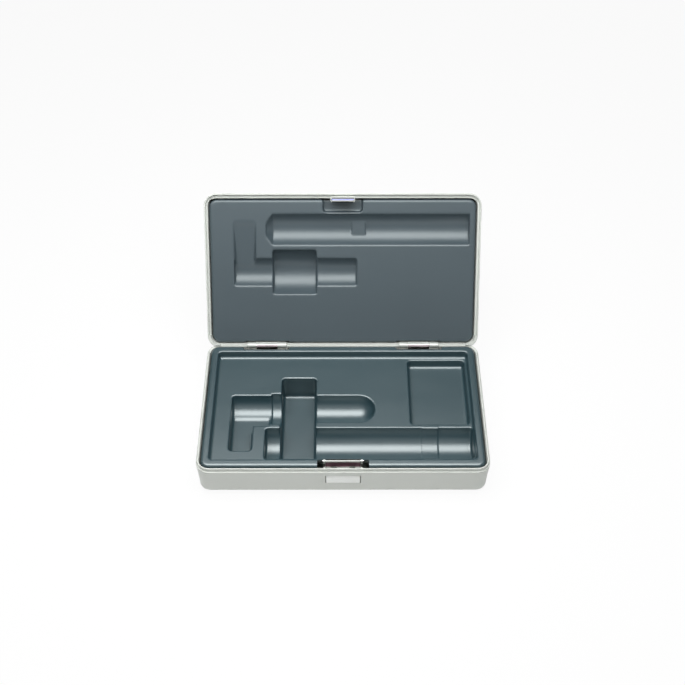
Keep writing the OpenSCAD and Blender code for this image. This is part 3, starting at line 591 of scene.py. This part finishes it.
def makeBaseSheet():
    b = baseSheet
    verts, quads = skinField(baseField, *sheetGrid(b))
    obj = meshObject("formedBaseTray", verts, quads)
    trimSkirt(obj, b, b["top"] - b["skirt"], -1)
    notchX, notchY = b["notch"]
    margin = b["notchMargin"]

    def nearNotch(c):
        return abs(c.x) < notchX + margin and c.y < notchY + margin

    cutAlong(obj, nearNotch, (0, notchY, 0), (0, 1, 0))
    for end in (-1, 1):
        cutAlong(obj, lambda c: nearNotch(c) and c.y < notchY, (end * notchX, 0, 0), (1, 0, 0))
    dropFaces(obj, lambda c: abs(c.x) < notchX and c.y < notchY)
    trimBays(obj, b["bay"])
    finishSheet(
        obj, b["gauge"], "slateSheet", "base",
        ("base_tray", "pockets_left", "finger_well", "pockets_right"))
    print("base tray formed:", len(obj.data.polygons), "faces")


def makeLidSheet():
    s = lidSheet
    verts, quads = skinField(lidField, *sheetGrid(s))
    verts[:, 2] *= -1
    obj = meshObject("formedLidTray", verts, quads[:, ::-1])
    trimSkirt(obj, s, s["face"] + s["skirt"], 1)
    trimBays(obj, s["bay"])
    # the lid stands open
    obj.data.transform(openTurn())
    # its slate is painted lighter and greyer than the base's, for the light that falls on it
    finishSheet(obj, s["gauge"], "slateLidPaintedLighter", "lid", ("lid_tray",))
    print("lid tray formed:", len(obj.data.polygons), "faces")


makeBaseSheet()
makeLidSheet()

# shells and metalwork are smooth copies of the CAD solids: a length in metres, angles in degrees
copies = {"merge": 0.000002, "flat": 0.5, "sharp": 30, "segments": 2}


def copyNode(node, name):
    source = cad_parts[node]
    obj = bpy.data.objects.new(name, source.data.copy())
    scene.collection.objects.link(obj)
    obj.data.materials.clear()
    obj.data.transform(source.matrix_world)
    makeActive(obj)
    bpy.ops.object.mode_set(mode="EDIT")
    bpy.ops.mesh.select_all(action="SELECT")
    bpy.ops.mesh.remove_doubles(threshold=copies["merge"])
    bpy.ops.mesh.dissolve_limited(angle_limit=math.radians(copies["flat"]))
    bpy.ops.object.mode_set(mode="OBJECT")
    return obj


# moves the points that are chosen by their place in mm
def nudge(obj, chosen, offset):
    makeActive(obj)
    bpy.ops.object.mode_set(mode="EDIT")
    bpy.ops.mesh.select_mode(type="VERT")
    bpy.ops.mesh.select_all(action="DESELECT")
    work = bmesh.from_edit_mesh(obj.data)
    for vert in work.verts:
        vert.select = chosen(vert.co / mm)
    work.select_flush_mode()
    bmesh.update_edit_mesh(obj.data)
    bpy.ops.transform.translate(value=[v * mm for v in offset])
    bpy.ops.object.mode_set(mode="OBJECT")


def assignFaces(obj, finish, chosen):
    obj.data.materials.append(finishes[finish])
    obj.active_material_index = len(obj.data.materials) - 1
    pickFaces(obj, chosen, mm)
    bpy.ops.object.material_slot_assign()
    bpy.ops.object.mode_set(mode="OBJECT")


# breaks the edges if a width is given, then smooths, finishes and mounts the copy
def finishCopy(obj, node, finish, body, edge):
    if edge:
        applyModifier(
            obj, "BEVEL", width=edge * mm, segments=copies["segments"], limit_method="ANGLE",
            angle_limit=math.radians(copies["sharp"]), use_clamp_overlap=True,
            harden_normals=False)
    smoothByAngle(obj, copies["sharp"])
    applyModifier(obj, "WEIGHTED_NORMAL", keep_sharp=True)
    obj.data.materials.append(finishes[finish])
    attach(obj, body)
    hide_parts(node)


baseShell = {
    "edge": 8.0, "sideEdge": 5.0, "wall": 105.5, "rimZ": 29.5, "rimSpan": 0.05,
    "ribX": (12.9, 14.6), "ribY": (-59.2, -51.1), "ribTop": 30.6,
    "ribTip": (13.7, -56.4), "ribSlant": (0.5, 0.87),
}


# how far a round edge stands in from the wall at a height
def insetAt(z, r):
    return r - math.sqrt(max(r * r - max(r - z, 0) ** 2, 0))


def makeBaseShell():
    k = baseShell
    obj = copyNode("base_shell", "fine_base_shell")
    # the side edges of the bottom are tighter than the front edge
    for vert in obj.data.vertices:
        z = vert.co.z / mm
        if z < k["edge"]:
            vert.co.x *= 1 + (insetAt(z, k["edge"]) - insetAt(z, k["sideEdge"])) / k["wall"]
    tipX, tipY = k["ribTip"]
    slantX, slantY = k["ribSlant"]

    def onRib(c):
        return k["ribX"][0] < abs(c.x) < k["ribX"][1] and k["ribY"][0] < c.y < k["ribY"][1]

    def onRim(c):
        return abs(c.z - k["rimZ"]) < k["rimSpan"]

    for side in (-1, 1):
        for x in k["ribX"]:
            cutAlong(obj, onRim, (side * x, 0, 0), (1, 0, 0), mm)
        cutAlong(
            obj, lambda c: onRib(c) and c.x * side > 0, (side * tipX, tipY, 0),
            (side * slantX, slantY, 0), mm)
    finishCopy(obj, "base_shell", "greyShell", "base", 0)
    # painted shade darkens the latch's ribs behind their pale tips
    assignFaces(obj, "paintedShade", lambda c: onRib(c) and c.y > tipY and c.z <= k["ribTop"])


lidShell = {
    "corner": (97.5, -51.25), "inner": (7.4, 8.2), "ledge": 1.3, "ledgeZ": (32.4, 33.4),
    "railY": 58.0, "railZ": 30.8, "railAir": 0.1, "railSpan": 0.01,
}


def makeLidShell():
    k = lidShell
    obj = copyNode("lid_shell", "fine_lid_shell")
    turn = openTurn(mm)
    obj.data.transform(turn.inverted())
    cornerX, cornerY = k["corner"]
    innerX, innerR = k["inner"]
    for vert in obj.data.vertices:
        x, y, z = vert.co / mm
        # the ledge inside the front rim reaches in towards the tray
        aside, ahead = max(abs(x) - cornerX, 0), cornerY - y
        onLedge = k["ledgeZ"][0] < z < k["ledgeZ"][1] and ahead > 0
        if onLedge and math.hypot(aside, ahead) < innerR:
            vert.co.y += k["ledge"] * mm * max(0, 1 - (aside / innerX) ** 2)
        # a little air at the ends of the rear rail
        if abs(abs(x) - cornerX) < k["railSpan"] and y > k["railY"] and z < k["railZ"]:
            vert.co.x += math.copysign(k["railAir"], x) * mm
    obj.data.transform(turn)
    finishCopy(obj, "lid_shell", "greyShell", "lid", 0)


makeBaseShell()
makeLidShell()

# hinges: pale satin leaves; the middle tab has a painted pink reflection on its top and painted
# shade in its slot
hinge = {"x": 60.5, "half": 8.4, "tabFoot": 28.0, "tabFront": 57.4, "tabBack": 58.3, "edge": 0.1}


def makeHinges():
    h = hinge
    for side, name in ((-1, "left"), (1, "right")):
        node = "hinge_lid_leaf_" + name
        leaf = copyNode(node, "lidLeaf_" + name)
        finishCopy(leaf, node, "satinNickel", "lid", h["edge"])
        node = "hinge_base_leaf_" + name
        leaf = copyNode(node, "baseLeaf_" + name)
        cutAlong(leaf, lambda c: c.y < h["tabFront"], (0, 0, h["tabFoot"]), (0, 0, 1), mm)
        finishCopy(leaf, node, "satinNickel", "base", h["edge"])

        def onTab(c):
            return abs(c.x - side * h["x"]) < h["half"] and c.z > h["tabFoot"]

        # painted shade on the tab's front in its slot, and a painted pink reflection on its top
        assignFaces(leaf, "paintedShade", lambda c: onTab(c) and c.y < h["tabFront"])
        assignFaces(
            leaf, "paintedPinkReflection", lambda c: onTab(c) and h["tabFront"] <= c.y < h["tabBack"])


makeHinges()

# the catch: a bright folded hook, with painted reflections in pale and blue bands along the bend
# and painted shade under it
catch = {
    "end": 9.5, "endSpan": 0.05, "trim": 1.2, "edge": 0.12, "bendR": 1.7, "footSpan": 0.02,
    "satin": 0.6, "blue": (0.25, 0.8), "paintedShadeEdge": -0.75, "paintedShadeRise": 0.5,
}


def makeCatch():
    k = catch
    hook = copyNode("lid_catch", "foldedCatch")
    for side in (-1, 1):
        nudge(hook, lambda c: c.x * side > k["end"] - k["endSpan"], (-side * k["trim"], 0, 0))
    turn = openTurn(mm)
    hook.data.transform(turn.inverted())
    lowZ = min(v.co.z for v in hook.data.vertices) / mm
    foot = [v.co.y / mm for v in hook.data.vertices if v.co.z / mm < lowZ + k["footSpan"]]
    midY, midZ = sum(foot) / len(foot), lowZ + k["bendR"]
    finishCopy(hook, "lid_catch", "brightNickel", "lid", k["edge"])
    satinY = k["bendR"] * k["satin"]
    blueFrom, blueTo = k["blue"]
    # painted reflections along the bend: a pale satin band and a blue band; painted shade on the
    # low faces behind the bend
    assignFaces(hook, "satinNickel", lambda c: c.z < midZ and abs(midY - c.y) < satinY)
    assignFaces(hook, "paintedBlueReflection", lambda c: c.z < midZ and blueFrom < midY - c.y < blueTo)
    assignFaces(
        hook, "paintedShade", lambda c: c.z < midZ + k["paintedShadeRise"] and midY - c.y < k["paintedShadeEdge"])
    hook.data.transform(turn)


# the pale frame that the hook comes out of, drawn with the lid closed
surround = {
    "x": 9.5, "y": (-58.8, -54.4), "z": 30.0, "depth": 1.5, "corner": 1.0, "cornerSegments": 4,
    "bar": 0.9, "edge": 0.2, "edgeSegments": 2, "sharp": 50, "smooth": 35,
    "darkX": 7.6, "darkY": -55.4,
}


def makeCatchFrame():
    f = surround
    deselectAll()
    bpy.ops.mesh.primitive_plane_add(size=2, location=(0, sum(f["y"]) / 2 * mm, f["z"] * mm))
    ring = bpy.context.object
    ring.name = "catchFrame"
    ring.scale = (f["x"] * mm, (f["y"][1] - f["y"][0]) / 2 * mm, 1)
    bpy.ops.object.transform_apply(location=True, rotation=False, scale=True)
    bpy.ops.object.mode_set(mode="EDIT")
    bpy.ops.mesh.select_all(action="SELECT")
    bpy.ops.mesh.bevel(
        offset=f["corner"] * mm, segments=f["cornerSegments"], affect="VERTICES")
    bpy.ops.mesh.select_all(action="SELECT")
    bpy.ops.mesh.inset(thickness=f["bar"] * mm)
    bpy.ops.mesh.delete(type="FACE")  # the inset leaves the middle selected
    bpy.ops.mesh.select_all(action="SELECT")
    bpy.ops.mesh.extrude_region_move(
        TRANSFORM_OT_translate={"value": (0, 0, f["depth"] * mm)})
    bpy.ops.mesh.select_all(action="SELECT")
    bpy.ops.mesh.normals_make_consistent(inside=False)
    bpy.ops.object.mode_set(mode="OBJECT")
    applyModifier(
        ring, "BEVEL", width=f["edge"] * mm, segments=f["edgeSegments"], limit_method="ANGLE",
        angle_limit=math.radians(f["sharp"]))
    ring.data.materials.append(finishes["greyShell"])
    # painted shade darkens the bar under the hook between its ends
    for side in (-1, 1):
        cutAlong(ring, lambda c: c.y > f["darkY"], (side * f["darkX"], 0, 0), (1, 0, 0), mm)
    assignFaces(ring, "paintedShade", lambda c: c.y > f["darkY"] and abs(c.x) < f["darkX"])
    ring.data.transform(openTurn(mm))
    smoothByAngle(ring, f["smooth"])
    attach(ring, "lid")


makeCatch()
makeCatchFrame()

# the button's face has a low ridge: its long upper half leans back, its foot turns under
cap = {
    "end": 12.75, "endSpan": 0.05, "trim": 0.5, "front": -61.75, "frontSpan": 0.05, "topSpan": 1.0,
    "foot": 15.5, "mid": 20.1, "top": 24.7, "lineSpan": 0.1,
    "ridgeRise": 2.2, "footIn": 1.0, "topIn": 0.3, "edge": 0.2,
}


def makeButton():
    k = cap
    obj = copyNode("push_button", "ridgedButton")
    for side in (-1, 1):
        nudge(obj, lambda c: c.x * side > k["end"] - k["endSpan"], (-side * k["trim"], 0, 0))
    for line, span, offset in (
            ("mid", "frontSpan", (0, 0, k["ridgeRise"])),
            ("foot", "frontSpan", (0, k["footIn"], 0)),
            ("top", "topSpan", (0, k["topIn"], 0))):
        nudge(
            obj, lambda c: c.y < k["front"] + k[span] and abs(c.z - k[line]) < k["lineSpan"],
            offset)
    # the button is painted paler than the shell, for the light on its upper half
    finishCopy(obj, "push_button", "paintedPaleButton", "button", k["edge"])


# the lever is plated pale on its rolled top and its nose; its plum face is a painted reflection,
# and painted shade darkens it behind the roll
lever = {
    "face": -53.7, "faceSpan": 0.2, "rollFrom": 31.1, "backFrom": (-52.95, 31.9),
    "noseFrom": -54.4, "noseTop": 28.0, "stripTop": 26.4, "edge": 0.12,
}


def makeLever():
    k = lever
    obj = copyNode("latch_lever", "rolledLever")
    cutAlong(
        obj, lambda c: c.y < k["face"] and c.z < k["noseTop"], (0, k["noseFrom"], 0),
        (0, 1, 0), mm)
    cutAlong(
        obj, lambda c: abs(c.y - k["face"]) < k["faceSpan"], (0, 0, k["stripTop"]),
        (0, 0, 1), mm)
    # the plum finish is a painted reflection on the plated face
    finishCopy(obj, "latch_lever", "paintedPlumReflection", "lever", k["edge"])
    backY, backZ = k["backFrom"]

    def isPale(c):
        onStrip = c.y < k["face"] and c.z < k["stripTop"]
        return c.z > k["rollFrom"] or c.y < k["noseFrom"] or onStrip

    assignFaces(obj, "satinNickel", isPale)
    # painted shade behind the roll
    assignFaces(obj, "paintedShade", lambda c: c.y > backY and c.z > backZ)


makeButton()
makeLever()

# pins, rivets and the spring stay as the CAD has them
plainNodes = {
    "brightNickel": (
        "hinge_pin_left", "hinge_pin_right", "base_leaf_rivets_left", "base_leaf_rivets_right",
        "lid_leaf_rivets_left", "lid_leaf_rivets_right", "catch_rivets", "latch_pin",
        "spring_rivet"),
    "springSteel": ("latch_spring",),
}
for finish, nodes in plainNodes.items():
    for node in nodes:
        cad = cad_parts[node].data
        cad.materials.clear()
        cad.materials.append(finishes[finish])
print("shells and metalwork done")

shot = {
    "place": (-0.93, -482.85, 666.09),  # mm
    "tilt": (40.606, 0, -0.07),  # degrees
    "lens": 55.01,
    "sensor": 36,
    "clipStart": 10,  # mm
}


def setCamera():
    deselectAll()
    bpy.ops.object.camera_add(
        location=[v * mm for v in shot["place"]],
        rotation=[math.radians(v) for v in shot["tilt"]])
    camera = bpy.context.object
    camera.name = "photoCamera"
    camera.data.sensor_width = shot["sensor"]
    camera.data.lens = shot["lens"]
    camera.data.clip_start = shot["clipStart"] * mm
    scene.camera = camera


setCamera()

# in metres; the floor lies just under the case, so that their faces don't flicker
studio = {
    "floorSize": 12.0, "floorZ": -0.0002, "floorColour": (0.9, 0.9, 0.9, 1), "floorGlow": 0.93,
    "wallRadius": 5.9, "wallHeight": 0.9, "wallSides": 96, "white": (1, 1, 1, 1),
    "worldLevel": 0.13,
    "lamps": {
        "overhead": {
            "place": (-0.05, -0.03, 0.52), "aim": (-0.05, -0.025, 0), "size": (0.62, 0.37),
            "power": 3.95},
        "front": {
            "place": (0, -0.9, 0.75), "aim": (0, 0.05, 0.05), "size": (1.4, 0.5), "power": 0.9},
    },
}


# white to the camera and in mirrors, and matte under the lamps, so that the shadow shows
def buildPaleFloor():
    material = bpy.data.materials.new("paleFloor")
    material.use_nodes = True
    tree = material.node_tree
    tree.nodes.clear()
    out = tree.nodes.new("ShaderNodeOutputMaterial")
    matte = addNode(tree, "ShaderNodeBsdfDiffuse", Color=studio["floorColour"])
    glow = addNode(tree, "ShaderNodeEmission", Color=studio["white"], Strength=1.0)
    path = tree.nodes.new("ShaderNodeLightPath")
    seen = addNode(tree, "ShaderNodeMath", operation="MAXIMUM")
    tree.links.new(path.outputs["Is Camera Ray"], seen.inputs[0])
    either = addNode(tree, "ShaderNodeMath", operation="MAXIMUM")
    tree.links.new(path.outputs["Is Glossy Ray"], either.inputs[0])
    tree.links.new(path.outputs["Is Transmission Ray"], either.inputs[1])
    tree.links.new(either.outputs[0], seen.inputs[1])
    part = addNode(tree, "ShaderNodeMath", operation="MULTIPLY")
    part.inputs[1].default_value = studio["floorGlow"]
    tree.links.new(seen.outputs[0], part.inputs[0])
    mix = tree.nodes.new("ShaderNodeMixShader")
    tree.links.new(part.outputs[0], mix.inputs["Fac"])
    tree.links.new(matte.outputs[0], mix.inputs[1])
    tree.links.new(glow.outputs[0], mix.inputs[2])
    tree.links.new(mix.outputs[0], out.inputs["Surface"])
    return material


def makeFloor():
    material = buildPaleFloor()
    deselectAll()
    bpy.ops.mesh.primitive_plane_add(
        size=studio["floorSize"], location=(0, 0, studio["floorZ"]))
    floor = bpy.context.object
    floor.name = "paleFloor"
    bpy.ops.object.transform_apply(location=True)
    floor.data.materials.append(material)
    # a low wall round the floor keeps the background pale in low views
    deselectAll()
    bpy.ops.mesh.primitive_cylinder_add(
        vertices=studio["wallSides"], radius=studio["wallRadius"], depth=studio["wallHeight"],
        end_fill_type="NOTHING", location=(0, 0, studio["wallHeight"] / 2))
    wall = bpy.context.object
    wall.name = "paleWall"
    bpy.ops.object.transform_apply(location=True)
    wall.data.materials.append(material)


def makeLights():
    for name, lamp in studio["lamps"].items():
        deselectAll()
        bpy.ops.object.light_add(type="AREA", location=lamp["place"])
        light = bpy.context.object
        light.name = name + "Softbox"
        light.data.shape = "RECTANGLE"
        light.data.size, light.data.size_y = lamp["size"]
        light.data.energy = lamp["power"]
        aim = Vector(lamp["aim"]) - Vector(lamp["place"])
        light.rotation_euler = aim.to_track_quat("-Z", "Y").to_euler()
    world = bpy.data.worlds.new("studioWorld")
    world.use_nodes = True
    back = world.node_tree.nodes["Background"]
    back.inputs["Color"].default_value = studio["white"]
    back.inputs["Strength"].default_value = studio["worldLevel"]
    scene.world = world


makeFloor()
makeLights()
scene.view_settings.view_transform = "Standard"
print("camera, floor and light set")
